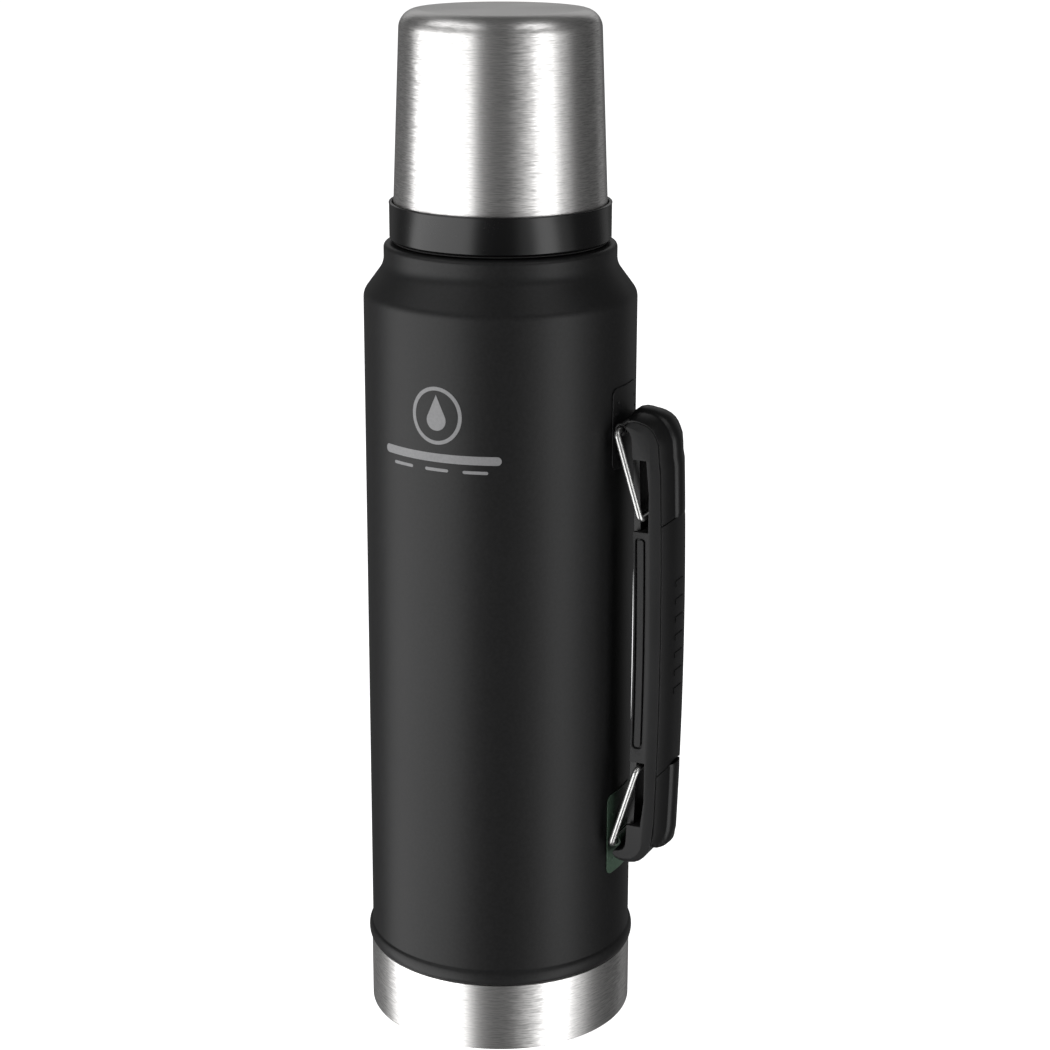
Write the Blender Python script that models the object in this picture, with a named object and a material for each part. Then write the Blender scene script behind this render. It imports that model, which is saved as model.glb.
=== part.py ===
"""Vacuum growler: insulated steel bottle with a screw-off cup, a screw stopper and a fold-flat carrying grip.

Frame: metres, +Z up, base on z = 0, bottle axis on Z, grip towards +X.
Every figure below is in millimetres and is scaled by MM where a mesh is made.
"""
import math

import bmesh
import bpy
from mathutils import Matrix, Vector

MM = 0.001
N = 32                        # facets round the bottle

# ---- driving dimensions (mm) -------------------------------------------------------------
HEIGHT = 366.0                # base to top of cup
BODY_R = 47.9                 # painted jacket
WALL = 0.7                    # sheet steel
BASE_R, BASE_TOP = 48.26, 25.2
BEAD_Z, BEAD_HALF, BEAD_OUT = 28.2, 2.7, 1.3
SHOULDER_FOOT, SHOULDER_HEAD = 269.3, 279.1
LIP_R, LIP_TOP = 40.7, 286.6
NECK_R, NECK_TOP = 26.4, 301.0
FLASK_R, FLASK_FLOOR = 43.9, 16.0
MOUTH_R = 24.6
BAND_R, BAND_FOOT, BAND_TOP = 38.6, 287.8, 300.7
CUP_FOOT_R, CUP_HEAD_R, CUP_CORNER = 37.17, 34.47, 6.6      # cone radius at z 298 and at the top

GRIP_HALF = 12.4              # half width of the grip core
FLAT_HALF = 10.2              # half width of its raised outer strip
PIVOT_X, PIVOT_TOP, PIVOT_LOW = 50.1, 226.5, 74.0
WIRE_R, BAIL_LEN, BAR_X, BAIL_HALF = 1.1, 31.5, 59.4, 13.85
BAR_DROP = math.sqrt(BAIL_LEN ** 2 - (BAR_X - PIVOT_X) ** 2)
SLOT_WALL = 61.75             # outer wall of the bail slots
SLOTS = ((82.0, 106.4), (191.5, 217.0))
POCKET = (79.0, 220.0)        # recess for the inner cover
CAP_LOW, CAP_HIGH = 101.0, 190.0
SCREWS = (128.0, 172.0)
PLATE_ANGLE = math.radians(12.4)


def bow(z):
    """Outward bow of the grip at height z."""
    return 1.9 * (1 - ((z - 150.0) / 82.0) ** 2)


# ---- materials ---------------------------------------------------------------------------
def material(name, rgb, metallic=0.0, roughness=0.5):
    mat = bpy.data.materials.new(name)
    mat.use_nodes = True
    shader = mat.node_tree.nodes["Principled BSDF"]
    shader.inputs["Base Color"].default_value = (*rgb, 1.0)
    shader.inputs["Metallic"].default_value = metallic
    shader.inputs["Roughness"].default_value = roughness
    return mat


STEEL = ((0.62, 0.61, 0.60), 1.0, 0.28)
BRIGHT = ((0.78, 0.78, 0.77), 1.0, 0.15)
PAINT = ((0.030, 0.030, 0.032), 0.0, 0.45)
GREEN = ((0.045, 0.075, 0.055), 0.0, 0.45)
PLASTIC = ((0.020, 0.020, 0.022), 0.0, 0.35)
CHARCOAL = ((0.055, 0.055, 0.058), 0.0, 0.5)
RUBBER = ((0.025, 0.025, 0.027), 0.0, 0.7)
SEAL = ((0.10, 0.10, 0.10), 0.0, 0.8)
LINER = ((0.06, 0.06, 0.06), 0.0, 0.4)
FOAM = ((0.80, 0.78, 0.70), 0.0, 0.9)
FOIL = ((0.80, 0.60, 0.45), 1.0, 0.25)
GETTER = ((0.35, 0.35, 0.36), 0.6, 0.6)


# ---- mesh helpers ------------------------------------------------------------------------
def finish(name, bm, look, origin=(0, 0, 0), smooth=True):
    """Turn a bmesh in mm into an object in metres with its origin on `origin`."""
    bmesh.ops.recalc_face_normals(bm, faces=bm.faces)
    bmesh.ops.transform(bm, matrix=Matrix.Translation(-Vector(origin)), verts=bm.verts)
    bmesh.ops.scale(bm, vec=(MM, MM, MM), verts=bm.verts)
    for face in bm.faces:
        face.smooth = smooth
    mesh = bpy.data.meshes.new(name)
    bm.to_mesh(mesh)
    bm.free()
    obj = bpy.data.objects.new(name, mesh)
    obj.location = Vector(origin) * MM
    bpy.context.scene.collection.objects.link(obj)
    mesh.materials.append(material(name + "_mat", *look))
    return obj


def turned(name, loop, look, origin=(0, 0, 0), facets=N, flutes=None):
    """Revolve a closed (r, z) loop; points on the axis become poles."""
    bm = bmesh.new()
    rings = []
    for r, z in loop:
        if r == 0:
            rings.append([bm.verts.new((0, 0, z))])
            continue
        ring = []
        for i in range(facets):
            a = 2 * math.pi * i / facets
            rr = r if flutes is None else flutes(r, z, a)
            ring.append(bm.verts.new((rr * math.cos(a), rr * math.sin(a), z)))
        rings.append(ring)
    for a, b in zip(rings, rings[1:] + rings[:1]):
        if len(a) == 1 and len(b) == 1:
            continue
        for i in range(facets):
            j = (i + 1) % facets
            if len(a) == 1:
                bm.faces.new((a[0], b[i], b[j]))
            elif len(b) == 1:
                bm.faces.new((a[i], a[j], b[0]))
            else:
                bm.faces.new((a[i], a[j], b[j], b[i]))
    return finish(name, bm, look, origin)


def arc(cx, cz, r, start, end, steps):
    """Points on a circle from `start` to `end` degrees."""
    return [(cx + r * math.cos(math.radians(start + (end - start) * i / steps)),
             cz + r * math.sin(math.radians(start + (end - start) * i / steps))) for i in range(steps + 1)]


def offset(line, d):
    """Shift an (r, z) polyline sideways by d, to its left."""
    out = []
    for i, (x, z) in enumerate(line):
        a = Vector(line[max(i - 1, 0)])
        b = Vector(line[min(i + 1, len(line) - 1)])
        t = (b - a).normalized()
        out.append((max(x - t.y * d, 0.0), z + t.x * d))
    return out


def loft(name, loops, look, origin=(0, 0, 0), smooth=False):
    """Skin a row of closed 3-D loops and cap both ends."""
    bm = bmesh.new()
    rings = [[bm.verts.new(p) for p in loop] for loop in loops]
    n = len(rings[0])
    for a, b in zip(rings, rings[1:]):
        for i in range(n):
            j = (i + 1) % n
            bm.faces.new((a[i], a[j], b[j], b[i]))
    caps = [bm.faces.new(list(reversed(rings[0]))), bm.faces.new(rings[-1])]
    bm.normal_update()
    bmesh.ops.triangulate(bm, faces=caps, ngon_method="EAR_CLIP")
    return finish(name, bm, look, origin, smooth)


def rod(name, start, end, radius, look, facets=16, origin=(0, 0, 0)):
    """Solid cylinder between two points."""
    a, b = Vector(start), Vector(end)
    turn = (b - a).to_track_quat("Z", "Y")
    loops = [[p + turn @ Vector((radius * math.cos(2 * math.pi * i / facets),
                                 radius * math.sin(2 * math.pi * i / facets), 0)) for i in range(facets)]
             for p in (a, b)]
    return loft(name, loops, look, origin)


def box(name, low, high, look=PLASTIC):
    (x0, y0, z0), (x1, y1, z1) = low, high
    return loft(name, [[(x0, y0, z), (x1, y0, z), (x1, y1, z), (x0, y1, z)] for z in (z0, z1)], look)


def combine(obj, others, operation):
    """Union or cut `others` with `obj`, then drop them."""
    for other in others:
        mod = obj.modifiers.new("work", "BOOLEAN")
        mod.operation, mod.solver, mod.object = operation, "EXACT", other
        graph = bpy.context.evaluated_depsgraph_get()
        mesh = bpy.data.meshes.new_from_object(obj.evaluated_get(graph))
        obj.modifiers.clear()
        old, obj.data = obj.data, mesh
        mesh.name = obj.name
        bpy.data.meshes.remove(old)
        spare = other.data
        bpy.data.objects.remove(other)
        bpy.data.meshes.remove(spare)
    keep = obj.data.materials[0]
    obj.data.materials.clear()
    obj.data.materials.append(keep)
    for face in obj.data.polygons:
        face.material_index = 0


# ---- bottle ------------------------------------------------------------------------------
def build_jacket():
    bead = [(BODY_R + BEAD_OUT * math.sin(math.radians(a)), BEAD_Z - BEAD_HALF * math.cos(math.radians(a)))
            for a in (12, 45, 90, 135, 168)]
    outer = [(BODY_R - 0.2, BEAD_Z - BEAD_HALF)] + bead + [(BODY_R, BEAD_Z + BEAD_HALF + 0.3), (BODY_R, 150.0)]
    outer += [(BODY_R, 267.0), (BODY_R - 0.35, 268.6), (BODY_R - 1.1, 270.2)]
    outer += [(41.9, 277.4), (41.0, 279.4), (LIP_R, 281.6), (LIP_R, 284.9), (LIP_R - 0.5, 286.1),
              (LIP_R - 1.7, LIP_TOP), (NECK_R + 0.8, LIP_TOP), (NECK_R, LIP_TOP + 0.8), (NECK_R, NECK_TOP)]
    inner = offset(outer, WALL)
    turned("outer_shell", outer + [p for k, p in enumerate(inner) if k not in (2, 4, 7, 13, 15, 19)][::-1], PAINT)

    foot = [(0, 0), (22, 0), (24, 1.5), (36, 1.5), (38, 0), (BASE_R - 0.4, 0), (BASE_R, 0.4), (BASE_R, BASE_TOP)]
    lining = [(BASE_R - WALL, BASE_TOP), (BASE_R - WALL, 1.1), (BASE_R - 1.1, WALL), (38.3, WALL),
              (36.3, 1.5 + WALL), (23.7, 1.5 + WALL), (21.7, WALL), (0, WALL)]
    turned("base_cup", foot + lining, STEEL)

    turned("jacket_floor", [(0, 9.3), (44, 9.3), (46.2, 10.5), (46.8, 12.5), (46.8, 40), (46.1, 40),
                            (46.1, 12.8), (45.6, 11.3), (43.8, 10), (0, 10)], STEEL)
    turned("evacuation_plug", [(0, 6.4), (3.2, 6.4), (4, 7.2), (4, 9.0), (0, 9.0)], BRIGHT, facets=16)


def build_flask():
    outer = [(0, FLASK_FLOOR), (36, FLASK_FLOOR), (41.6, 18.4), (FLASK_R, 24), (FLASK_R, 260), (42.6, 266),
             (38.5, 272.3), (31, 279.4), (26.6, 282.8), (25.4, 285.6), (25.4, NECK_TOP + 0.3),
             (26.6, NECK_TOP + 0.3), (26.6, NECK_TOP + 1.3)]
    inner = [(MOUTH_R, NECK_TOP + 1.3), (MOUTH_R, 285.3), (25.9, 282.2), (30.4, 278.8), (37.9, 271.8),
             (41.9, 265.7), (FLASK_R - WALL, 259.8), (FLASK_R - WALL, 24.2), (41.1, 18.9),
             (35.8, FLASK_FLOOR + WALL), (0, FLASK_FLOOR + WALL)]
    turned("inner_flask", outer + inner, STEEL)
    turned("radiation_foil", [(44.9, 30), (45.3, 30), (45.3, 255), (44.9, 255)], FOIL)
    turned("getter_pill", [(0, 10.4), (5.2, 10.4), (6, 11.2), (6, 13.2), (5.2, 14), (0, 14)], GETTER, facets=16)
    crest, root, z0 = 32.0, 31.1, LIP_TOP + 0.3
    thread = [(root, z0)]
    for k in range(2):
        z = z0 + 3.0 + 4.4 * k
        thread += [(root, z), (crest, z + 0.9), (crest, z + 1.5), (root, z + 2.4)]
    thread += [(root, 299.4), (root - 0.8, 300.2), (NECK_R + 0.3, 300.2), (NECK_R + 0.3, z0 + 1.0), (NECK_R + 1.3, z0)]
    turned("neck_collar", thread, PLASTIC)


def build_brackets():
    """Curved plates welded to the jacket, each with a knuckle round its bail."""
    for name, pivot, low, high, look in (("upper_bracket", PIVOT_TOP, 211.6, 240.3, PAINT),
                                         ("lower_bracket", PIVOT_LOW, 59.4, 90.6, GREEN)):
        bm = bmesh.new()
        cut, layers = 1.6, []
        rows = [(low, 1 - cut / 10.5), (low + cut, 1.0), (high - cut, 1.0), (high, 1 - cut / 10.5)]
        for r in (BODY_R + 0.3, BODY_R + 1.1):
            layers.append([[bm.verts.new((r * math.cos(PLATE_ANGLE * w * s / 4), r * math.sin(PLATE_ANGLE * w * s / 4), z))
                            for s in range(-4, 5)] for z, w in rows])
        for grid in layers:
            for a, b in zip(grid, grid[1:]):
                for i in range(8):
                    bm.faces.new((a[i], a[i + 1], b[i + 1], b[i]))
        inside, outside = layers
        rim = lambda g: g[0] + [row[-1] for row in g[1:-1]] + g[-1][::-1] + [row[0] for row in g[-2:0:-1]]
        a, b = rim(inside), rim(outside)
        for i in range(len(a)):
            j = (i + 1) % len(a)
            bm.faces.new((a[i], a[j], b[j], b[i]))
        plate = finish(name, bm, look, smooth=False)
        side = 1 if pivot > 150 else -1
        knuckle = rod("knuckle", (PIVOT_X, -10.0, pivot), (PIVOT_X, 10.0, pivot), WIRE_R + 1.1, look)
        web = [(BODY_R + 0.55, pivot), (BODY_R + 0.55, pivot + side * 5.0), (BODY_R + 1.2, pivot + side * 4.6),
               (PIVOT_X + 0.6, pivot + side * 2.05), (PIVOT_X, pivot)]
        fillet = loft("web", [[(x, y, z) for x, z in web] for y in (-9.9, 9.9)], look)
        bore = rod("bore", (PIVOT_X, -12.0, pivot), (PIVOT_X, 12.0, pivot), WIRE_R + 0.3, look)
        combine(plate, [knuckle, fillet], "UNION")
        combine(plate, [bore], "DIFFERENCE")


# ---- cup and stopper ---------------------------------------------------------------------
def build_cup():
    slope = (CUP_FOOT_R - CUP_HEAD_R) / (HEIGHT - 298.0)
    wall_r = lambda z, inset=0.0: CUP_FOOT_R - (z - 298.0) * slope - inset
    centre_z = HEIGHT - CUP_CORNER
    centre_r = wall_r(centre_z) - CUP_CORNER
    corner = arc(centre_r, centre_z, CUP_CORNER, 0, 90, 5)
    outer = [(wall_r(290.6), 290.6), (wall_r(302), 302.0)] + corner + [(0, HEIGHT)]
    inner = [(r - 0.6, z) for r, z in outer[:2]] + arc(centre_r, centre_z, CUP_CORNER - 0.6, 0, 90, 4)
    turned("cup_shell", outer + ([*inner, (0, HEIGHT - 0.6)])[::-1], STEEL)

    lining = [(35.9, 289.6), (35.9, 296), (33.2, 352), (31.6, 358.5), (26, 362.4), (0, 362.4)]
    bowl = [(34.7, 289.6), (34.7, 296), (32.0, 351.6), (30.6, 357.4), (25.6, 361.2), (0, 361.2)]
    turned("cup_liner", lining + bowl[::-1], LINER)

    turned("cup_band", [(BAND_R - 1.0, BAND_FOOT), (BAND_R, BAND_FOOT + 0.5), (BAND_R, BAND_TOP - 0.9),
                        (BAND_R - 0.3, BAND_TOP - 0.2), (BAND_R - 0.8, BAND_TOP), (37.45, BAND_TOP),
                        (37.75, BAND_TOP - 1.0), (37.75, BAND_FOOT + 1.4), (36.4, BAND_FOOT + 1.4),
                        (33.4, BAND_FOOT + 1.4), (33.4, BAND_FOOT)], PLASTIC)
    ring = [(34.4, 289.6), (34.4, 299.5), (33.2, 299.5)]
    for k in range(2):
        z = 296.9 - 4.2 * k
        ring += [(33.1, z), (32.4, z - 0.8), (32.4, z - 1.4), (33.1, z - 2.2)]
    turned("cup_thread_ring", ring + [(33.1, 289.6)], PLASTIC)
    turned("cup_gasket", [(33.6, 286.9), (37.4, 286.9), (37.4, 287.5), (33.6, 287.5)], SEAL)


def build_stopper():
    r = MOUTH_R - 0.7
    side = [(26.0, 305.4), (26.0, 303.4), (r, 303.4)]
    for z in (297.0, 292.0):
        side += [(r, z), (r + 0.35, z - 0.7), (r + 0.35, z - 1.2), (r, z - 1.9)]
    side += [(r, 269.0), (r - 0.8, 268.0), (21.5, 268.0), (21.5, 303.0), (0, 303.0), (0, 305.4)]
    turned("stopper_body", side, PLASTIC)
    turned("stopper_foam", [(0, 270.6), (21.2, 270.6), (21.2, 302.7), (0, 302.7)], FOAM, facets=32)
    turned("stopper_base_disc", [(0, 268.3), (20.9, 268.3), (20.9, 270.3), (0, 270.3)], STEEL, facets=32)
    turned("stopper_gasket", [(24.6, 302.6), (26.2, 302.6), (26.2, 303.1), (24.6, 303.1)], SEAL)
    flute = lambda rad, z, a: rad - (0.8 if rad > 15 and z > 306.4 else 0.0) * (0.5 - 0.5 * math.cos(12 * a))
    turned("stopper_knob", [(0, 305.7), (19.0, 305.7), (20.0, 306.6), (19.2, 319.6), (17.6, 321.4), (0, 322)],
           PLASTIC, flutes=flute)


# ---- grip and bails ----------------------------------------------------------------------
def build_bails():
    """Closed wire loops, pivoted in the brackets and running in the grip slots."""
    for name, pivot, side in (("upper_bail", PIVOT_TOP, -1), ("lower_bail", PIVOT_LOW, 1)):
        down = Vector((BAR_X - PIVOT_X, 0, side * BAR_DROP)).normalized()
        across, bend, steps = Vector((0, 1, 0)), 1.9, 4
        path = []
        corners = [(-1, 0), (1, 0), (1, 1), (-1, 1)]
        for k, (y, far) in enumerate(corners):
            corner = across * (y * BAIL_HALF) + down * (far * BAIL_LEN)
            into = corners[k - 1]
            before = (across * (into[0] * BAIL_HALF) + down * (into[1] * BAIL_LEN) - corner).normalized()
            after = corners[(k + 1) % 4]
            ahead = (across * (after[0] * BAIL_HALF) + down * (after[1] * BAIL_LEN) - corner).normalized()
            centre = corner + (before + ahead) * bend
            for i in range(steps + 1):
                a = math.pi / 2 * i / steps
                path.append(centre - ahead * bend * math.cos(a) - before * bend * math.sin(a))
        normal = across.cross(down)
        bm = bmesh.new()
        rings, n = [], len(path)
        for i, p in enumerate(path):
            t = (path[(i + 1) % n] - path[i - 1]).normalized()
            u = normal.cross(t)
            rings.append([bm.verts.new(p + normal * (WIRE_R * math.cos(a)) + u * (WIRE_R * math.sin(a)))
                          for a in (math.pi * (k + 0.5) / 4 for k in range(8))])
        for i in range(n):
            a, b = rings[i], rings[(i + 1) % n]
            for k in range(8):
                bm.faces.new((a[k], a[(k + 1) % 8], b[(k + 1) % 8], b[k]))
        bmesh.ops.translate(bm, vec=(PIVOT_X, 0, pivot), verts=bm.verts)
        finish(name, bm, BRIGHT, (PIVOT_X, 0, pivot))


def core_outline():
    """Outline of the grip core in (x, z): pairs for the raised strip and for the side faces."""
    pairs = [((53.2, 229.5), (52.9, 228.4)), ((56.5, 229.6), (55.0, 227.8)), ((60.2, 228.5), (58.0, 226.4)),
             ((62.7, 226.1), (60.6, 223.9)), ((63.9, 222.6), (61.8, 220.9)), ((64.2, 217.0), (62.05, 216.8))]
    pairs += [((64.0 + bow(z), z), (61.6 + bow(z), z)) for z in (205, 190, 175, 160, 140, 125, 110, 95, 80)]
    pairs += [((63.8, 75.0), (61.4, 75.8)), ((62.4, 70.9), (60.2, 72.2)), ((60.0, 68.5), (58.4, 70.1)),
              ((57.1, 67.3), (56.4, 69.0)), ((54.0, 67.1), (54.0, 68.7)), ((50.7, 67.9), (51.0, 69.2)),
              ((49.8, 69.2), (50.2, 70.1)), ((50.5, 71.2), (50.5, 71.2)), ((54.0, 72.0), (54.0, 72.0)),
              ((55.0, 75.0), (55.0, 75.0))]
    face = lambda z: ((57.0 + bow(z), z), (55.2 + bow(z), z))
    pairs += [((55.2 + bow(78.7), 78.7), (55.2 + bow(78.7), 78.7)), face(POCKET[0])]
    for (low, high), taper, run in zip(SLOTS, (1, -1), ((118, 134, 150, 166, 182), ())):
        wall = [(SLOT_WALL - 1.2, low), (SLOT_WALL, low + 10)] if taper > 0 else [(SLOT_WALL, low)]
        wall += [(SLOT_WALL, high)] if taper > 0 else [(SLOT_WALL, high - 12), (SLOT_WALL - 1.2, high)]
        pairs += [face(low), *((p, p) for p in wall), face(high), *(face(z) for z in run)]
    pairs += [face(POCKET[1]), ((55.2 + bow(220.3), 220.3), (55.2 + bow(220.3), 220.3)),
              ((55.0, 224.5), (55.0, 224.5)), ((54.2, 226.4), (54.2, 226.4))]
    return pairs


def strip(name, path, look, back):
    """Soft pad laid along (x, z, share) stations on the core; `back` is half of its outline, from edge to middle."""
    shape = [(-FLAT_HALF, 0.1), (FLAT_HALF, 0.1)] + back + [(-y, d) for y, d in back[::-1] if y]
    loops = []
    for i, (x, z, share) in enumerate(path):
        a, b = Vector(path[max(i - 1, 0)][:2]), Vector(path[min(i + 1, len(path) - 1)][:2])
        t = (b - a).normalized()
        lifts = [(y, d if d < 0.2 else d * share) for y, d in shape]
        loops.append([(x + t.y * d, y, z - t.x * d) for y, d in lifts])
    loft(name, loops, look)


def build_grip():
    pairs = core_outline()
    side = [(x, z) for _, (x, z) in pairs]
    flat = [(x, z) for (x, z), _ in pairs]
    core = loft("grip_core", [[(x, y, z) for x, z in line]
                              for y, line in ((-GRIP_HALF, side), (-FLAT_HALF, flat), (FLAT_HALF, flat), (GRIP_HALF, side))],
                CHARCOAL)
    holes = [rod("hole", (55.0, 0, z), (62.6, 0, z), 1.5, PLASTIC, 12) for z in SCREWS]
    pockets = [box("pocket", (57.6, min(y, y * 1.2), 112.0), (60.8, max(y, y * 1.2), 189.0)) for y in (11.4, -11.4)]
    combine(core, holes + pockets, "DIFFERENCE")
    for name, s in (("grip_panel_front", -1), ("grip_panel_back", 1)):
        low, high = sorted((s * 11.7, s * 12.3))
        box(name, (57.9, low, 112.3), (60.5, high, 188.7), CHARCOAL)

    heights = [POCKET[0] + 0.3, 90, 100, 112, 130, 150, 170, 188, 200, 210, POCKET[1] - 0.3]
    cover = loft("grip_cover", [[(54.8 + bow(z), -9.4, z), (56.7 + bow(z), -9.8, z), (56.7 + bow(z), 9.8, z),
                                 (54.8 + bow(z), 9.4, z)] for z in heights], PLASTIC)
    combine(cover, [rod("hole", (54.0, 0, z), (60.0, 0, z), 1.5, PLASTIC, 12) for z in SCREWS], "DIFFERENCE")
    for name, z in (("grip_screw_lower", SCREWS[0]), ("grip_screw_upper", SCREWS[1])):
        head = 54.5 + bow(z)
        screw = rod(name, (head - 1.0, 0, z), (head, 0, z), 2.4, BRIGHT)
        combine(screw, [rod("shank", (head - 0.5, 0, z), (62.2, 0, z), 1.15, BRIGHT, 12)], "UNION")

    seat = lambda z: (64.0 + bow(z), z, 1.0)
    plain = [(FLAT_HALF, 0.5), (9.6, 1.3), (8.4, 1.9), (5.0, 2.4), (0, 2.7)]
    ridged = [(FLAT_HALF, 0.5), (9.6, 1.2), (8.4, 1.7), (4.0, 2.0), (3.0, 3.2), (0, 4.1)]
    strip("grip_sleeve", [seat(z) for z in (CAP_LOW + 0.15, 112, 124, 137, 150, 163, 176, CAP_HIGH - 0.15)], RUBBER,
          plain)
    top = [(64.25, 217.0, 1.0), (63.95, 222.7, 0.95), (62.75, 226.2, 0.82), (60.25, 228.6, 0.66),
           (56.6, 229.7, 0.52), (53.6, 229.6, 0.42)]
    strip("grip_top_cap", [seat(z) for z in (CAP_HIGH + 0.15, 198, 206, 212)] + top, RUBBER, ridged)
    low = [(63.35, 73.2, 0.5), (63.75, 74.6, 0.9), (63.95, 76.4, 1.0)]
    strip("grip_bottom_cap", low + [seat(z) for z in (80, 87, 94, CAP_LOW - 0.15)], RUBBER, ridged)


def main():
    for obj in list(bpy.data.objects):
        bpy.data.objects.remove(obj, do_unlink=True)
    build_jacket()
    build_flask()
    build_brackets()
    build_cup()
    build_stopper()
    build_bails()
    build_grip()


main()
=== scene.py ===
"""Finished surfaces for a vacuum growler: jacket, cup, stopper, brackets, bails, grip and studio."""
import math

import bmesh
import bpy
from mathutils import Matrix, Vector


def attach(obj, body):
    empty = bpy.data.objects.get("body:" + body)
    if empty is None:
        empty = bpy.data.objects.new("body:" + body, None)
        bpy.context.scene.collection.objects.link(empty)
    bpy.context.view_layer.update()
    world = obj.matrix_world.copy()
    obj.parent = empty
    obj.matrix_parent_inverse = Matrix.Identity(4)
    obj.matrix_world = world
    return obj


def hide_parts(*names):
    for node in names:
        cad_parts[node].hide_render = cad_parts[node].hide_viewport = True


bl_info = {
    "name": "Vacuum growler",
    "version": (1, 0, 0),
    "blender": (4, 5, 0),
    "location": "3D View > Sidebar > Growler",
    "description": "Models the finished surfaces of an insulated bottle round its fixed frame",
    "category": "Object",
}

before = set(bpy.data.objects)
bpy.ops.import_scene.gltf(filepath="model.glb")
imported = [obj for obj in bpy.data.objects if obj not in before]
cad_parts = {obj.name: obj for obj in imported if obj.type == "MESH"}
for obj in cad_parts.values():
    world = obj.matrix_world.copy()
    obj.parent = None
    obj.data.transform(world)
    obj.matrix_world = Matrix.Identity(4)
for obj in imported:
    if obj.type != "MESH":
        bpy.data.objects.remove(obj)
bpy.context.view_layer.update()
MM = 0.001
FLUTES = 12                     # round the stopper's knob
RIBS, RIB_PITCH = 7, 6.6        # low ribs along the sleeve, and mm between them
POCKET = 10.2                   # half width in mm of the cover's pocket in the grip
PAD_HALF, PAD_SEAT = 11.0, 64.4  # half width of the soft pads and distance of their seat from the axis, in mm
END_REACH = 14                  # mm over which the curved end of a pad runs out
VIEW_TURN = math.radians(25.0)  # of the camera about the bottle
VIEW_AWAY, VIEW_UP, VIEW_DROP = 0.84678, 0.43266, 16.392  # metres, metres and degrees below level
# Soft boxes: azimuth from the camera in degrees, distance, width, lower and upper edge in metres, and glow.
LIGHTS = (
    ("left_box", -68, 1.6, 2.55, -2.2, 0.55, 2.6),
    ("right_box", 50, 1.7, 0.72, -2.2, 0.55, 2.5),
    ("right_fade", 50, 1.6, 1.9, -2.2, 0.55, 0.55),
    ("rear_right_box", 141, 1.9, 0.7, -2.0, 0.8, 0.16),
    ("rear_left_box", -146, 1.9, 0.8, -2.0, 0.8, 0.05),
    ("back_box", 180, 2.2, 2.6, 0.7, 2.6, 0.44),
    ("high_left_box", -69, 1.6, 2.6, 1.5, 3.2, 1.6),
    ("high_right_box", 50, 1.7, 1.3, 1.5, 3.2, 2.0),
)


# ---- modelling helpers -------------------------------------------------------------------
def settle():
    """Leave edit mode with nothing selected."""
    if bpy.context.mode != "OBJECT":
        bpy.ops.object.mode_set(mode="OBJECT")
    bpy.ops.object.select_all(action="DESELECT")


def pick(*objs):
    """Select these objects alone and make the first one active."""
    settle()
    for obj in objs:
        obj.select_set(True)
    bpy.context.view_layer.objects.active = objs[0]
    return objs[0]


def edit(obj):
    """Enter edit mode with everything selected."""
    pick(obj)
    bpy.ops.object.mode_set(mode="EDIT")
    bpy.ops.mesh.select_mode(type="VERT")
    bpy.ops.mesh.select_all(action="SELECT")


def select_where(obj, kind, test):
    """In edit mode, select the vertices, edges or faces that pass a test of their middle and themselves."""
    bpy.ops.mesh.select_mode(type={"verts": "VERT", "edges": "EDGE", "faces": "FACE"}[kind])
    bpy.ops.mesh.select_all(action="DESELECT")
    bm = bmesh.from_edit_mesh(obj.data)
    for item in getattr(bm, kind):
        if kind == "verts":
            item.select_set(test(item.co, item))
        elif kind == "edges":
            item.select_set(test((item.verts[0].co + item.verts[1].co) / 2, item))
        else:
            item.select_set(test(item.calc_center_median(), item))
    bm.select_flush_mode()
    bmesh.update_edit_mesh(obj.data)


def draw_line(name, points, close=False):
    """Draw a chain of edges by extruding one vertex; stays in edit mode."""
    settle()
    bpy.ops.mesh.primitive_plane_add(size=0.002)
    obj = bpy.context.object
    obj.name = obj.data.name = name
    bpy.ops.object.mode_set(mode="EDIT")
    bpy.ops.mesh.select_mode(type="VERT")
    bpy.ops.mesh.select_all(action="SELECT")
    bpy.ops.mesh.merge(type="CENTER")
    points = [Vector(p) for p in points]
    bpy.ops.transform.translate(value=points[0])
    for a, b in zip(points, points[1:]):
        bpy.ops.mesh.extrude_region_move(TRANSFORM_OT_translate={"value": b - a})
    if close:
        first, last = points[0], points[-1]
        select_where(obj, "verts", lambda co, v: (co - first).length < 1e-6 or (co - last).length < 1e-6)
        bpy.ops.mesh.edge_face_add()
    return obj


def enclosed(obj):
    """Signed volume inside the mesh; negative when its faces look inwards."""
    obj.data.calc_loop_triangles()
    v = obj.data.vertices
    corners = (t.vertices for t in obj.data.loop_triangles)
    return sum(v[a].co.dot(v[b].co.cross(v[c].co)) for a, b, c in corners)


def clean(obj, angle=40):
    """Merge, face outwards, and shade smooth below the angle."""
    edit(obj)
    bpy.ops.mesh.remove_doubles(threshold=1e-6)
    bpy.ops.mesh.normals_make_consistent(inside=False)
    pick(obj)
    if enclosed(obj) < 0:
        edit(obj)
        bpy.ops.mesh.flip_normals()
        pick(obj)
    bpy.ops.object.shade_smooth_by_angle(angle=math.radians(angle))
    settle()
    return obj


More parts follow.
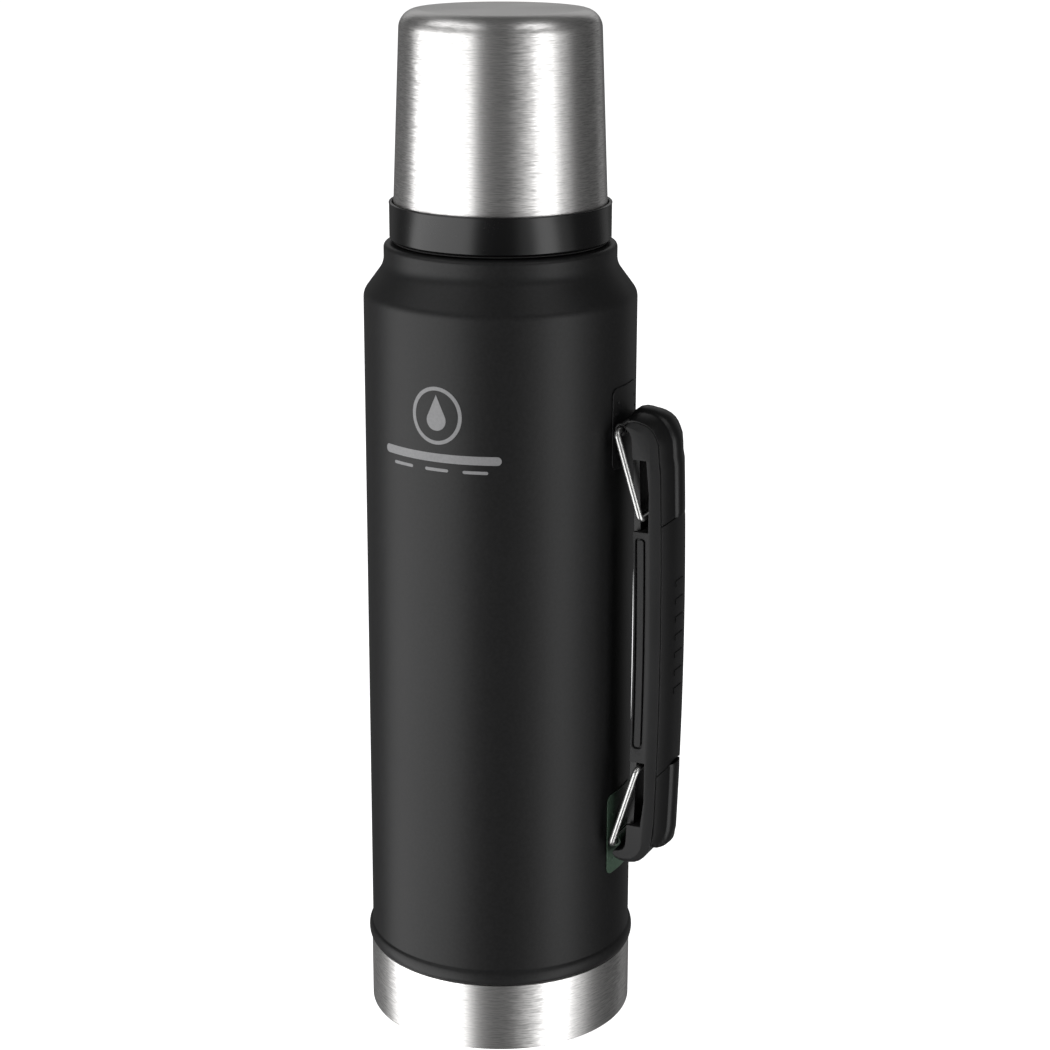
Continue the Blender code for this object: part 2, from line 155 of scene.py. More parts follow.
def rounded(corners, fine=7.5):
    """Turn (x, y, radius) corners into points, with an arc at each corner that has a radius."""
    pts = [Vector(c[:2]) for c in corners]
    out = []
    for i, c in enumerate(corners):
        r = c[2] if len(c) > 2 else 0
        if r <= 0 or i in (0, len(corners) - 1):
            out.append(pts[i])
            continue
        back, ahead = (pts[i - 1] - pts[i]).normalized(), (pts[i + 1] - pts[i]).normalized()
        between = back.angle(ahead)
        reach = r / math.tan(between / 2)
        centre = pts[i] + (back + ahead).normalized() * (r / math.sin(between / 2))
        start, stop = pts[i] + back * reach - centre, pts[i] + ahead * reach - centre
        turn = start.angle_signed(stop)
        steps = max(2, round(abs(math.degrees(turn)) / fine))
        base = math.atan2(start.y, start.x)
        for k in range(steps + 1):
            a = base - turn * k / steps
            out.append(centre + Vector((math.cos(a), math.sin(a))) * r)
    return [(p.x, p.y) for p in out]


def inset_line(line, d):
    """The line moved d to its left, for a wall of even thickness."""
    out = []
    for i, (x, z) in enumerate(line):
        a, b = Vector(line[max(i - 1, 0)]), Vector(line[min(i + 1, len(line) - 1)])
        t = (b - a).normalized()
        out.append((max(x - t.y * d, 0.0), z + t.x * d))
    return out


def turned(name, line, steps=160, angle=40):
    """Lathe a closed (r, z) line in mm about the bottle axis."""
    ring = list(line) if line[0][0] == 0 and line[-1][0] == 0 else list(line) + [line[0]]
    obj = draw_line(name, [(r * MM, 0, z * MM) for r, z in ring])
    bpy.ops.mesh.select_all(action="SELECT")
    bpy.ops.mesh.spin(steps=steps, angle=2 * math.pi, center=(0, 0, 0), axis=(0, 0, 1))
    return clean(obj, angle)


def apply_modifiers(obj):
    pick(obj)
    for mod in list(obj.modifiers):
        bpy.ops.object.modifier_apply(modifier=mod.name)
    settle()
    return obj


def soften(obj, width=0.25, segments=2, limit=30, angle=40):
    """Round the sharp edges."""
    mod = obj.modifiers.new("edge", "BEVEL")
    mod.width, mod.segments, mod.limit_method = width * MM, segments, "ANGLE"
    mod.angle_limit = math.radians(limit)
    mod.use_clamp_overlap = True
    apply_modifiers(obj)
    pick(obj)
    bpy.ops.object.shade_smooth_by_angle(angle=math.radians(angle))
    settle()
    return obj


def joined(name, *objs):
    """Join the objects into one named piece."""
    pick(*objs)
    bpy.ops.object.join()
    obj = bpy.context.object
    obj.name = obj.data.name = name
    settle()
    return obj


def place(obj, body, mat, slot, *nodes):
    """Give a piece its material and its moving body, and hide the frame nodes that it stands for."""
    obj.data.materials.clear()
    obj.data.materials.append(mat)
    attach(obj, body)
    if nodes:
        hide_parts(*nodes)
    return obj


# ---- materials ---------------------------------------------------------------------------
class Finish:
    """A node tree that is written one node at a time."""

    def __init__(self, name, roughness=0.5, metallic=0.0):
        self.mat = bpy.data.materials.new(name)
        self.mat.use_nodes = True
        self.tree = self.mat.node_tree
        self.shader = self.tree.nodes["Principled BSDF"]
        self.shader.inputs["Metallic"].default_value = metallic
        self.shader.inputs["Roughness"].default_value = roughness
        self.where = self.tree.nodes.new("ShaderNodeTexCoord").outputs["Object"]

    def node(self, kind, inputs=None, **fields):
        node = self.tree.nodes.new("ShaderNode" + kind)
        for key, value in fields.items():
            setattr(node, key, value)
        for key, value in (inputs or {}).items():
            if isinstance(value, bpy.types.NodeSocket):
                self.tree.links.new(value, node.inputs[key])
            else:
                node.inputs[key].default_value = value
        return node

    def stretch(self, scale):
        return self.node("Mapping", {"Vector": self.where, "Scale": scale}).outputs[0]

    def noise(self, scale, detail=2.0, vector=None, roughness=0.5):
        return self.node("TexNoise", {"Vector": vector or self.where, "Scale": scale, "Detail": detail,
                                      "Roughness": roughness}).outputs["Fac"]

    def span(self, value, low, high, a=0.0, b=1.0):
        return self.node("MapRange", {"Value": value, "From Min": a, "From Max": b, "To Min": low,
                                      "To Max": high}).outputs[0]

    def ramp(self, value, dark, light, low=0.35, high=0.65):
        ramp = self.node("ValToRGB", {"Fac": value})
        ends = ramp.color_ramp.elements
        ends[0].position, ends[1].position = low, high
        ends[0].color, ends[1].color = (*dark, 1), (*light, 1)
        return ramp.outputs[0]

    def math(self, op, a, b=0.0):
        node = self.node("Math", operation=op)
        for k, v in enumerate((a, b)):
            if isinstance(v, bpy.types.NodeSocket):
                self.tree.links.new(v, node.inputs[k])
            else:
                node.inputs[k].default_value = v
        return node.outputs[0]

    def bump(self, height, strength, distance, normal=None):
        inputs = {"Height": height, "Strength": strength, "Distance": distance}
        if normal:
            inputs["Normal"] = normal
        return self.node("Bump", inputs).outputs[0]

    def link(self, **sockets):
        for name, value in sockets.items():
            self.tree.links.new(value, self.shader.inputs[name.replace("_", " ")])
        return self

    def set(self, **values):
        for name, value in values.items():
            self.shader.inputs[name.replace("_", " ")].default_value = value
        return self


def shade(color, k):
    return tuple(min(1.0, c * k) for c in color)


def powder_coat(name, color, rough, shine=0.27):
    """Baked powder paint: a fine even grain with slow changes of gloss."""
    f = Finish(name, rough)
    grain = f.noise(2600, 2.0)
    slow = f.noise(18, 3.0)
    speck = f.noise(900, 1.0)
    f.link(Base_Color=f.ramp(speck, shade(color, 0.85), shade(color, 1.15), 0.3, 0.7),
           Roughness=f.math("ADD", f.span(slow, rough - 0.03, rough + 0.03), f.span(speck, -0.02, 0.02)),
           Normal=f.bump(grain, 0.16, 0.00012))
    f.set(Specular_IOR_Level=shine)
    return f.mat


def brushed_steel(name, color, rough):
    """Steel brushed round the axis: hair-fine streaks on the wall, fine rings on flat ends."""
    f = Finish(name, rough, 1.0)
    face = f.node("NewGeometry").outputs["Normal"]
    flat = f.span(f.math("ABSOLUTE", f.node("SeparateXYZ", {0: face}).outputs["Z"]), 0, 1, 0.55, 0.9)
    wall = f.math("SUBTRACT", 1.0, flat)
    fine = f.noise(1.0, 2.0, f.stretch((300, 300, 4400)), 0.6)
    long = f.noise(1.0, 2.0, f.stretch((140, 140, 2100)), 0.6)
    streak = f.math("ADD", f.math("MULTIPLY", fine, 0.6), f.math("MULTIPLY", long, 0.4))
    radius = f.node("VectorMath", {0: f.stretch((1700, 1700, 0))}, operation="LENGTH").outputs["Value"]
    rings = f.noise(1.0, 2.0, f.node("CombineXYZ", {"X": radius}).outputs[0])
    streak = f.math("ADD", f.math("MULTIPLY", streak, wall),
                    f.math("MULTIPLY", f.span(rings, 0.44, 0.6), flat))
    tangent = f.node("Tangent", direction_type="RADIAL", axis="Z").outputs[0]
    tip = f.math("MULTIPLY", f.math("MULTIPLY", f.math("SUBTRACT", streak, 0.5), 0.16), wall)
    side = f.node("VectorMath", {0: tangent, "Scale": tip}, operation="SCALE").outputs[0]
    tipped = f.node("VectorMath", {0: face, 1: side}, operation="ADD").outputs[0]
    normal = f.node("VectorMath", {0: tipped}, operation="NORMALIZE").outputs[0]
    f.link(Base_Color=f.ramp(streak, shade(color, 0.62), shade(color, 1.10), 0.36, 0.62),
           Roughness=f.span(streak, rough + 0.04, rough - 0.04, 0.3, 0.7), Normal=normal, Tangent=tangent)
    f.set(Anisotropic=0.5, Anisotropic_Rotation=0.25)
    return f.mat


def plain_steel(name, color, rough):
    """Drawn or polished metal with faint long marks."""
    f = Finish(name, rough, 1.0)
    marks = f.noise(1.0, 3.0, f.stretch((260, 260, 60)), 0.6)
    f.link(Base_Color=f.ramp(marks, shade(color, 0.92), shade(color, 1.05)),
           Roughness=f.span(marks, rough - 0.03, rough + 0.06), Normal=f.bump(marks, 0.05, 0.00005))
    return f.mat


def polished(name, color, rough):
    """Bright drawn wire."""
    f = Finish(name, rough, 1.0)
    haze = f.noise(70, 2.0)
    f.link(Base_Color=f.ramp(haze, shade(color, 0.97), color),
           Roughness=f.span(haze, rough - 0.02, rough + 0.02))
    return f.mat


def moulded(name, color, rough, grain=1400, depth=0.00005, strength=0.2, shine=0.4):
    """Injection-moulded plastic or rubber with a spark-eroded grain."""
    f = Finish(name, rough)
    fine = f.noise(grain, 2.0)
    slow = f.noise(30, 3.0)
    f.link(Base_Color=f.ramp(slow, shade(color, 0.9), shade(color, 1.1)),
           Roughness=f.math("ADD", f.span(slow, rough - 0.04, rough + 0.04), f.span(fine, -0.03, 0.03)),
           Normal=f.bump(fine, strength, depth))
    f.set(Specular_IOR_Level=shine)
    return f.mat


def cells(name, color):
    """Rigid foam with open cells."""
    f = Finish(name, 0.9)
    voronoi = f.node("TexVoronoi", {"Vector": f.where, "Scale": 1100.0}).outputs["Distance"]
    f.link(Base_Color=f.ramp(voronoi, shade(color, 0.8), color, 0.0, 0.5),
           Normal=f.bump(voronoi, 0.5, 0.0003))
    return f.mat


def foil(name, color):
    """Thin creased metal foil."""
    f = Finish(name, 0.22, 1.0)
    creases = f.noise(90, 5.0)
    f.link(Base_Color=f.ramp(creases, shade(color, 0.85), color), Normal=f.bump(creases, 0.5, 0.0006))
    return f.mat


def sintered(name, color):
    """Dull pressed metal powder."""
    f = Finish(name, 0.7, 0.5)
    grit = f.noise(1500, 3.0)
    f.link(Base_Color=f.ramp(grit, shade(color, 0.6), shade(color, 1.2)), Normal=f.bump(grit, 0.6, 0.0003))
    return f.mat


# ---- properties --------------------------------------------------------------------------
def length(name, default, description):
    return bpy.props.FloatProperty(name=name, default=default * MM, unit="LENGTH", precision=5,
                                   description=description)


def tone(name, default, description):
    return bpy.props.FloatVectorProperty(name=name, default=default, size=3, min=0, max=1, subtype="COLOR",
                                         description=description)


def gloss(name, default, description):
    return bpy.props.FloatProperty(name=name, default=default, min=0, max=1, subtype="FACTOR",
                                   description=description)


class GrowlerSizes(bpy.types.PropertyGroup):
    """Sizes that repeat the fixed frame"""
    body: length("Jacket radius", 47.9, "Outer radius of the painted jacket")
    wall: length("Sheet", 0.7, "Thickness of the steel sheet")
    base: length("Base radius", 48.26, "Outer radius of the steel base")
    lip: length("Shoulder lip radius", 40.7, "Radius of the upright lip above the shoulder")
    neck: length("Neck radius", 26.4, "Outer radius of the neck inside the collar")
    band: length("Band radius", 38.6, "Outer radius of the black band under the cup")
    cup_foot: length("Cup foot radius", 37.17, "Radius of the cup wall at 298 mm")
    cup_head: length("Cup head radius", 34.47, "Radius of the cup wall at the top")
    height: length("Height", 366.0, "Base to top of the cup")
    wire: length("Bail wire radius", 1.1, "Radius of the bail wire")
    pivot: length("Pivot distance", 50.1, "Distance of the bail pivots from the bottle axis")
    reach: length("Bail length", 31.5, "Pivot to crossbar")
    half_grip: length("Grip half width", 12.4, "Half width of the grip core")


class GrowlerColours(bpy.types.PropertyGroup):
    """Colours and gloss of the finishes"""
    paint: tone("Jacket paint", (0.0100, 0.0100, 0.0103), "Powder coat of the jacket")
    paint_rough: gloss("Jacket roughness", 0.43, "Roughness of the powder coat")
    green: tone("Lower plate", (0.060, 0.100, 0.070), "Paint of the lower bracket")
    steel: tone("Steel", (0.80, 0.79, 0.78), "Brushed steel of cup and base")
    steel_rough: gloss("Steel roughness", 0.36, "Roughness across the brushing")
    plastic: tone("Black plastic", (0.0035, 0.0035, 0.0037), "Band, collar and stopper")
    core: tone("Grip core", (0.0205, 0.0205, 0.0210), "Charcoal plastic of the grip")
    soft: tone("Grip skin", (0.0045, 0.0045, 0.0048), "Soft skin of the grip")
    emblem: tone("Emblem", (0.23, 0.23, 0.235), "Printed emblem on the jacket")


def sizes():
    return bpy.context.scene.growler_sizes


def colours():
    return bpy.context.scene.growler_colours


def mm(value):
    return value / MM


# ---- bottle ------------------------------------------------------------------------------
class GROWLER_OT_jacket(bpy.types.Operator):
    """Painted jacket with its rolled bead, stepped shoulder and neck"""
    bl_idname = "growler.jacket"
    bl_label = "Jacket"

    def execute(self, context):
        s, c = sizes(), colours()
        r, lip, neck, wall = mm(s.body), mm(s.lip), mm(s.neck), mm(s.wall)
        bead = [(r + 1.32 * math.sin(a), 28.2 - 2.75 * math.cos(a)) for a in
                (math.radians(12 + 156 * k / 14) for k in range(15))]
        outer = [(r - 0.3, 25.5)] + bead + rounded(
            [(r, 31.3), (r, 269.3, 5.5), (lip, 279.1, 8.0), (lip, 286.6, 1.7), (neck, 286.6, 0.8),
             (neck, 301.0)], 6)
        jacket = turned("jacket", outer + inset_line(outer, wall)[::-1], 192, 50)
        place(jacket, "bottle", powder_coat("black_powder_coat", c.paint, c.paint_rough), "jacket_paint",
              "outer_shell")
        return {"FINISHED"}


class GROWLER_OT_base(bpy.types.Operator):
    """Brushed base cup, with the sealed floor behind it"""
    bl_idname = "growler.base"
    bl_label = "Base"

    def execute(self, context):
        s, c = sizes(), colours()
        r, wall = mm(s.base), mm(s.wall)
        outer = rounded([(0, 0), (22, 0, 1.5), (24, 1.5, 1.5), (36, 1.5, 1.5), (38, 0, 1.5), (r, 0, 0.35),
                         (r, 25.2, 0.2), (r - wall, 25.2)], 10)
        inner = [(r - wall, 1.3), (r - 1.4, wall), (38.3, wall), (36.3, 1.5 + wall), (23.7, 1.5 + wall),
                 (21.7, wall), (0, wall)]
        steel = brushed_steel("brushed_base_steel", c.steel, c.steel_rough)
        place(turned("base", outer + inner, 192, 30), "bottle", steel, "steel", "base_cup")
        floor = turned("floor_pan", rounded([(0, 9.3), (44.6, 9.3), (46.8, 11.5, 2), (46.8, 40), (46.1, 40),
                                             (46.1, 12, 1.6), (44.0, 10), (0, 10)]), 96)
        pressed = plain_steel("pressed_steel", shade(c.steel, 0.8), 0.35)
        place(floor, "bottle", pressed, "steel", "jacket_floor")
        return {"FINISHED"}


class GROWLER_OT_flask(bpy.types.Operator):
    """Inner flask with a rolled mouth, and the threaded collar round the neck"""
    bl_idname = "growler.flask"
    bl_label = "Flask and neck"

    def execute(self, context):
        c = colours()
        outer = rounded([(0, 16), (41, 16, 7), (43.9, 22), (43.9, 262, 4), (26, 283.2, 3), (25.4, 286),
                         (25.4, 301.3), (26.6, 301.3, 0.3), (26.6, 302.3, 0.45), (24.6, 302.3, 0.45)], 10)
        inner = rounded([(24.6, 301.6), (24.6, 285.3), (25.4, 282.6), (43.2, 261.2, 4), (43.2, 22.4),
                         (40.6, 16.7, 6), (0, 16.7)], 10)
        drawn = plain_steel("flask_steel", c.steel, 0.24)
        place(turned("flask", outer + inner, 128), "bottle", drawn, "steel", "inner_flask")
        z0 = 286.9
        collar = turned("collar_barrel", rounded(
            [(27.7, z0), (31.1, z0, 0.2), (31.1, 299.4, 0.9), (30.3, 300.2, 0.4), (26.7, 300.2, 0.3),
             (26.7, 287.9)], 15), 128)
        ridge = helix("collar_ridge", 30.9, 32.0, 288.9, 4.4, 1.6)
        place(joined("neck_thread", collar, ridge), "bottle", moulded("collar_plastic", c.plastic, 0.34),
              "plastic", "neck_collar")
        return {"FINISHED"}


def helix(name, root, crest, start, pitch, turns, outward=True, steps=72):
    """A thread ridge, screwed up from a four-sided section and run out at both ends."""
    k = 1 if outward else -1
    line = [(root, 0, 0), (crest, 0, 0.75), (crest, 0, 1.35), (root, 0, 2.1)]
    obj = draw_line(name, [Vector(p) * MM for p in line], close=True)
    settle()
    mod = obj.modifiers.new("thread", "SCREW")
    mod.axis, mod.angle, mod.screw_offset = "Z", 2 * math.pi * turns, pitch * turns * MM
    mod.steps = mod.render_steps = int(steps * turns)
    mod.use_merge_vertices = False
    apply_modifiers(obj)
    full = 2 * math.pi * turns
    ring = len(line)
    last = len(obj.data.vertices) // ring - 1
    for i, v in enumerate(obj.data.vertices):
        station = i // ring if len(obj.data.vertices) % ring == 0 else 0
        along = min(station, last - station) * full / max(last, 1)
        fade = min(1.0, along / math.radians(35))
        here = math.hypot(v.co.x, v.co.y)
        want = root * MM + (here - root * MM) * fade
        v.co.x, v.co.y = v.co.x * want / here, v.co.y * want / here
        v.co.z += start * MM
    edit(obj)
    bpy.ops.mesh.select_all(action="DESELECT")
    bpy.ops.mesh.select_non_manifold()
    bpy.ops.mesh.fill()
    return clean(obj, 35)


class GROWLER_OT_cup(bpy.types.Operator):
    """Steel drinking cup with liner, black band, thread ring and gasket"""
    bl_idname = "growler.cup"
    bl_label = "Cup"

    def execute(self, context):
        s, c = sizes(), colours()
        foot, head, top = mm(s.cup_foot), mm(s.cup_head), mm(s.height)
        slope = (foot - head) / (top - 298.0)
        foot_r = foot + (298.0 - 290.6) * slope
        outer = rounded([(foot_r, 290.6), (head, top, 6.6), (0, top)], 5)
        inner = rounded([(foot_r - 0.6, 290.6), (head - 0.6, top - 0.6, 6.0), (0, top - 0.6)], 9)
        steel = brushed_steel("brushed_cup_steel", c.steel, c.steel_rough)
        place(turned("cup", outer + inner[::-1], 192, 30), "cup", steel, "steel", "cup_shell")

        lining = rounded([(35.9, 289.6), (35.9, 296, 8), (32.9, 358, 5), (28, 362.4, 4), (0, 362.4)])
        bowl = rounded([(34.7, 289.6), (34.7, 296, 8), (31.7, 357, 4.5), (27, 361.2, 4), (0, 361.2)])
        inside = moulded("liner_plastic", (0.05, 0.05, 0.052), 0.4)
        place(turned("liner", lining + bowl[::-1], 128), "cup", inside, "liner", "cup_liner")

        r = mm(s.band)
        band = rounded([(33.4, 287.8), (r, 287.8, 0.8), (r, 300.1, 0.0), (r + 0.12, 300.3),
                        (r + 0.12, 300.6, 0.25), (r - 0.9, 300.8, 0.3), (37.45, 300.3, 0.2), (37.75, 299.0),
                        (37.75, 289.2), (33.4, 289.2)], 15)
        glossy = moulded("band_plastic", c.plastic, 0.26, 1800, 0.00003, 0.1)
        place(turned("band", band, 192, 35), "cup", glossy, "band", "cup_band")
        barrel = rounded([(33.1, 289.6), (34.4, 289.6), (34.4, 299.5), (33.1, 299.5)])
        ring = turned("ring_barrel", barrel, 128)
        ridge = helix("ring_ridge", 33.3, 32.4, 291.0, 4.4, 1.3, outward=False)
        place(joined("cup_thread", ring, ridge), "cup", moulded("ring_plastic", c.plastic, 0.36), "plastic",
              "cup_thread_ring")
        seal = rounded([(33.6, 286.95), (37.4, 286.95, 0.25), (37.4, 287.5, 0.25), (33.6, 287.5)], 20)
        rubber = moulded("seal_rubber", (0.02, 0.02, 0.02), 0.6)
        place(turned("cup_seal", seal, 128), "cup_seat", rubber, "seal", "cup_gasket")
        return {"FINISHED"}


class GROWLER_OT_stopper(bpy.types.Operator):
    """Screw stopper with a fluted knob"""
    bl_idname = "growler.stopper"
    bl_label = "Stopper"

    def execute(self, context):
        c = colours()
        r = 23.9
        outer = rounded([(0, 305.4), (26.0, 305.4, 0.5), (26.0, 303.4, 0.5), (r, 303.4, 0.3), (r, 268.4, 0.8),
                         (22.4, 268.0), (21.5, 268.0), (21.5, 303.0), (0, 303.0)], 15)
        plug = turned("plug_barrel", outer, 128)
        ridge = helix("plug_ridge", 23.7, 24.25, 288.0, 4.4, 1.5)
        plastic = moulded("stopper_plastic", c.plastic, 0.38)
        place(joined("plug", plug, ridge), "stopper", plastic, "plastic", "stopper_body")
        disc = rounded([(0, 268.3), (20.9, 268.3, 0.5), (20.9, 270.3), (0, 270.3)], 15)
        place(turned("plug_disc", disc, 96), "stopper", plain_steel("disc_steel", c.steel, 0.3),
              "steel", "stopper_base_disc")
        seal = rounded([(24.6, 302.65), (26.1, 302.65, 0.2), (26.1, 303.1, 0.2), (24.6, 303.1)], 20)
        silicone = moulded("grey_silicone", (0.12, 0.12, 0.12), 0.55)
        place(turned("plug_seal", seal, 96), "stopper_seat", silicone, "seal", "stopper_gasket")
        knob = turned("knob", rounded([(0, 305.8), (19.2, 305.8, 0.4), (20.0, 307.4, 0.8), (19.2, 319.6, 1.6),
                                       (17.2, 321.9, 1.4), (13.5, 321.9, 0.6), (12.9, 320.6, 0.6),
                                       (0, 320.6)], 15), 144)
        for v in knob.data.vertices:
            rad = math.hypot(v.co.x, v.co.y)
            if rad > 0.016 and 0.3064 < v.co.z < 0.3210:
                turn = math.atan2(v.co.y, v.co.x)
                k = 1 - 0.045 * max(0.0, math.cos(FLUTES * turn)) ** 1.5
                v.co.x, v.co.y = v.co.x * k, v.co.y * k
        place(knob, "stopper", plastic, "plastic", "stopper_knob")
        return {"FINISHED"}


# ---- brackets and bails ------------------------------------------------------------------
def wrapped_plate(name, low, high, half_angle, radius, thick, corner=2.6):
    """A plate with round corners, cut flat, curved round the jacket and given its thickness."""
    settle()
    width, tall = 2 * radius * half_angle, (high - low)
    bpy.ops.mesh.primitive_plane_add(size=1)
    obj = bpy.context.object
    obj.name = obj.data.name = name
    edit(obj)
    bpy.ops.transform.resize(value=(width * MM, tall * MM, 1))
    bpy.ops.mesh.bevel(offset=corner * MM, segments=6, affect="VERTICES")
    for k in range(1, 16):
        bpy.ops.mesh.select_all(action="SELECT")
        x = (-width / 2 + width * k / 16) * MM
        bpy.ops.mesh.bisect(plane_co=(x, 0, 0), plane_no=(1, 0, 0))
    settle()
    for v in obj.data.vertices:
        a = v.co.x / (radius * MM)
        v.co = Vector((radius * MM * math.cos(a), radius * MM * math.sin(a), (low + high) / 2 * MM + v.co.y))
    mod = obj.modifiers.new("sheet", "SOLIDIFY")
    mod.thickness, mod.offset = thick * MM, 1
    apply_modifiers(obj)
    clean(obj)
    return soften(obj, 0.18, 2, 40)


def extruded(name, outline, half_width):
    """A flat (x, z) outline in mm, filled and pulled across the grip direction."""
    obj = draw_line(name, [(x * MM, -half_width * MM, z * MM) for x, z in outline], close=True)
    bpy.ops.mesh.select_all(action="SELECT")
    bpy.ops.mesh.edge_face_add()
    bpy.ops.mesh.extrude_region_move(TRANSFORM_OT_translate={"value": (0, 2 * half_width * MM, 0)})
    return clean(obj)


class GROWLER_OT_brackets(bpy.types.Operator):
    """Welded plates that hold the bails in curled knuckles"""
    bl_idname = "growler.brackets"
    bl_label = "Brackets"

    def execute(self, context):
        s, c = sizes(), colours()
        pivot_x, wire, r = mm(s.pivot), mm(s.wire), mm(s.body)
        upper = powder_coat("bracket_powder_coat", c.paint, c.paint_rough)
        lower = powder_coat("green_powder_coat", c.green, 0.42)
        for name, z, low, high, side, mat, slot in (
                ("upper_plate", 226.5, 211.6, 240.3, 1, upper, "bracket_paint"),
                ("lower_plate", 74.0, 60.0, 90.6, -1, lower, "bracket_green")):
            plate = wrapped_plate(name, low, high, math.radians(12.4), r + 0.1, 0.5)
            gap, sheet = wire + 0.3, 0.8
            a0 = 205 if side > 0 else 155
            sweep = [math.radians(a0 - side * k * 15) for k in range(20)]
            inner = [(pivot_x + gap * math.cos(a), z + gap * math.sin(a)) for a in sweep]
            outer = [(pivot_x + (gap + sheet) * math.cos(a), z + (gap + sheet) * math.sin(a)) for a in sweep]
            curl = extruded(name + "_curl", outer + inner[::-1], 10.0)
            soften(curl, 0.15, 2, 40)
            parts = [plate, curl]
            for y, dz in ((-7.0, 8.6), (7.0, 8.6), (-8.4, 4.6), (8.4, 4.6), (-7.0, -9.0), (7.0, -9.0)):
                parts.append(weld_spot(name + "_weld", r + 0.6, y, z + side * dz))
            place(joined(name, *parts), "bottle", mat, slot, name.replace("plate", "bracket"))
        return {"FINISHED"}


def weld_spot(name, radius, y, z):
    """A low round weld mark on a curved plate."""
    settle()
    bpy.ops.mesh.primitive_uv_sphere_add(segments=16, ring_count=8, radius=0.7 * MM)
    obj = bpy.context.object
    obj.name = obj.data.name = name
    edit(obj)
    bpy.ops.transform.resize(value=(0.3, 1, 1))
    a = y / radius
    bpy.ops.transform.translate(value=(radius * math.cos(a) * MM, radius * math.sin(a) * MM, z * MM))
    return clean(obj)


class GROWLER_OT_bails(bpy.types.Operator):
    """Polished wire loops between the brackets and the grip"""
    bl_idname = "growler.bails"
    bl_label = "Bails"

    def execute(self, context):
        s = sizes()
        pivot_x, reach, half = mm(s.pivot), mm(s.reach), 13.85
        run = 59.4 - pivot_x
        drop = math.sqrt(reach ** 2 - run ** 2)
        mat = polished("polished_wire", (0.62, 0.62, 0.61), 0.36)
        for name, z, side in (("upper_loop", 226.5, -1), ("lower_loop", 74.0, 1)):
            far = Vector((run, 0, side * drop))
            flat = rounded([(0, -half * 0.5), (0, -half, 1.9), (reach, -half, 1.9), (reach, half, 1.9),
                            (0, half, 1.9), (0, -half * 0.49)], 9)
            along = far.normalized()
            path = [(Vector((pivot_x, 0, z)) + along * u + Vector((0, v, 0))) * MM for u, v in flat]
            obj = draw_line(name, path, close=True)
            pick(obj)
            bpy.ops.object.convert(target="CURVE")
            obj = bpy.context.object
            obj.data.bevel_depth, obj.data.bevel_resolution = s.wire, 8
            bpy.ops.object.convert(target="MESH")
            obj = bpy.context.object
            clean(obj, 60)
            body = "upper_wire" if side < 0 else "lower_wire"
            place(obj, body, mat, "wire", name.replace("loop", "bail"))
        return {"FINISHED"}


# ---- grip --------------------------------------------------------------------------------
def bow(z):
    """Outward bow of the grip at a height in mm."""
    return 1.9 * (1 - ((z - 150.0) / 82.0) ** 2)


def stack(name, loops):
    """Bridge a row of closed loops into one solid and cap its ends."""
    parts = []
    for i, loop in enumerate(loops):
        parts.append(draw_line(f"{name}_{i}", [Vector(p) * MM for p in loop], close=True))
    obj = joined(name, *parts)
    edit(obj)
    for i in range(len(loops) - 1):
        keep = {round(v, 7) for k in (i, i + 1) for v in (loops[k][0][1] * MM,)}
        select_where(obj, "edges", lambda co, e: all(round(v.co.y, 7) in keep for v in e.verts)
                     and abs(e.verts[0].co.y - e.verts[1].co.y) < 1e-7)
        bpy.ops.mesh.bridge_edge_loops()
    ends = (loops[0][0][1] * MM, loops[-1][0][1] * MM)
    for end in ends:
        select_where(obj, "edges", lambda co, e: all(abs(v.co.y - end) < 1e-7 for v in e.verts))
        bpy.ops.mesh.edge_face_add()
    return clean(obj)


